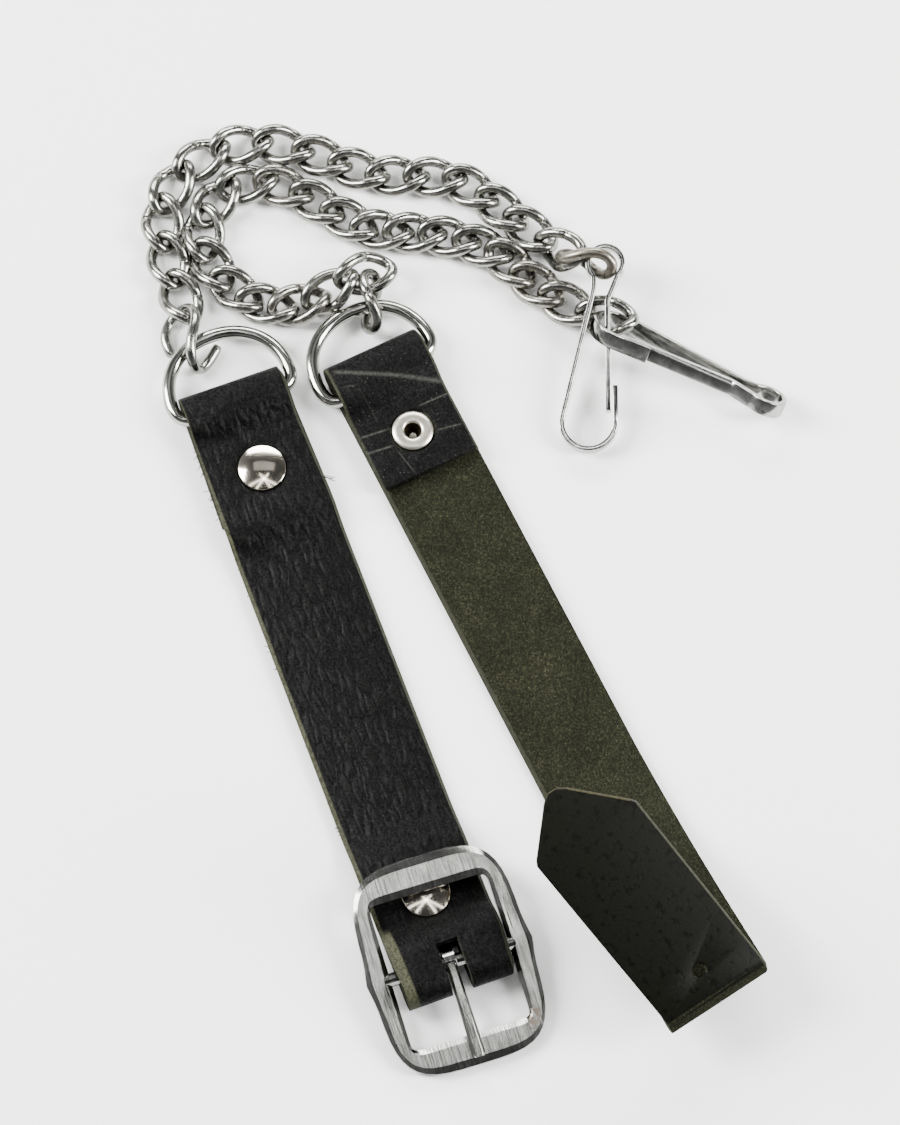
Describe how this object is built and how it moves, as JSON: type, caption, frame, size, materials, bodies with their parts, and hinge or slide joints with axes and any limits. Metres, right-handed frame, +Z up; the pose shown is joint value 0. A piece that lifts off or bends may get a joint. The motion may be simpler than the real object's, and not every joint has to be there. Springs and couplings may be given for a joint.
{
  "type": "sporran chain strap",
  "caption": "Leather and chain belt for carrying a sporran: riveted straps with D-rings, twisted curb chains, flat spring hooks and a centre-bar buckle, laid out on a table",
  "frame": {"origin": "middle of the bounding box, on the table it lies on", "axes": "+Z up from the table, +Y along the straps from the buckle towards the chains, +X to the right of the picture"},
  "size_m": [0.147, 0.2252, 0.0361],
  "materials": {
    "black_leather": "black pebbled grain leather, waxed",
    "olive_leather": "olive flesh side of black leather, fine suede nap",
    "rivet_nickel": "polished warm nickel",
    "ring_chrome": "polished chrome on wire",
    "buckle_chrome": "polished chrome, lightly brushed",
    "clip_steel": "bright plated spring steel strip",
    "link_chrome": "polished chrome wire with some tarnish"
  },
  "bodies": {
    "strap_and_chains": {"strap_buckle_side": "black_leather", "strap_tip_side": "olive_leather", "rivet_buckle_strap_ring_end": "rivet_nickel", "rivet_buckle_strap_buckle_end": "rivet_nickel", "rivet_tip_strap": "rivet_nickel", "d_ring_buckle_strap": "ring_chrome", "d_ring_tip_strap": "ring_chrome", "clip_a": "clip_steel", "clip_b": "clip_steel", "chain_a_link_01": "link_chrome", "chain_a_link_02": "link_chrome", "chain_a_link_03": "link_chrome", "chain_a_link_04": "link_chrome", "chain_a_link_05": "link_chrome", "chain_a_link_06": "link_chrome", "chain_a_link_07": "link_chrome", "chain_a_link_08": "link_chrome", "chain_a_link_09": "link_chrome", "chain_a_link_10": "link_chrome", "chain_a_link_11": "link_chrome", "chain_a_link_12": "link_chrome", "chain_a_link_13": "link_chrome", "chain_a_link_14": "link_chrome", "chain_a_link_15": "link_chrome", "chain_a_link_16": "link_chrome", "chain_a_link_17": "link_chrome", "chain_b_link_01": "link_chrome", "chain_b_link_02": "link_chrome", "chain_b_link_03": "link_chrome", "chain_b_link_04": "link_chrome", "chain_b_link_05": "link_chrome", "chain_b_link_06": "link_chrome", "chain_b_link_07": "link_chrome", "chain_b_link_08": "link_chrome", "chain_b_link_09": "link_chrome", "chain_b_link_10": "link_chrome", "chain_b_link_11": "link_chrome", "chain_b_link_12": "link_chrome", "chain_b_link_13": "link_chrome", "chain_b_link_14": "link_chrome", "chain_b_link_15": "link_chrome", "chain_b_link_16": "link_chrome", "chain_b_link_17": "link_chrome", "chain_b_link_18": "link_chrome", "chain_b_link_19": "link_chrome", "chain_b_link_20": "link_chrome", "chain_b_link_21": "link_chrome"},
    "frame": {"buckle_frame": "buckle_chrome"},
    "tongue": {"buckle_tongue": "buckle_chrome"}
  },
  "joints": [
    {"name": "frame_hinge", "type": "hinge", "parent": "strap_and_chains", "child": "frame", "pos_m": [-0.0028, -0.08824, 0.0052], "axis": [0.9537, 0.3007, 0], "range_deg": [0, 120]},
    {"name": "tongue_hinge", "type": "hinge", "parent": "frame", "child": "tongue", "pos_m": [-0.0028, -0.08824, 0.0052], "axis": [-0.9537, -0.3007, 0], "range_deg": [0, 100]}
  ]
}
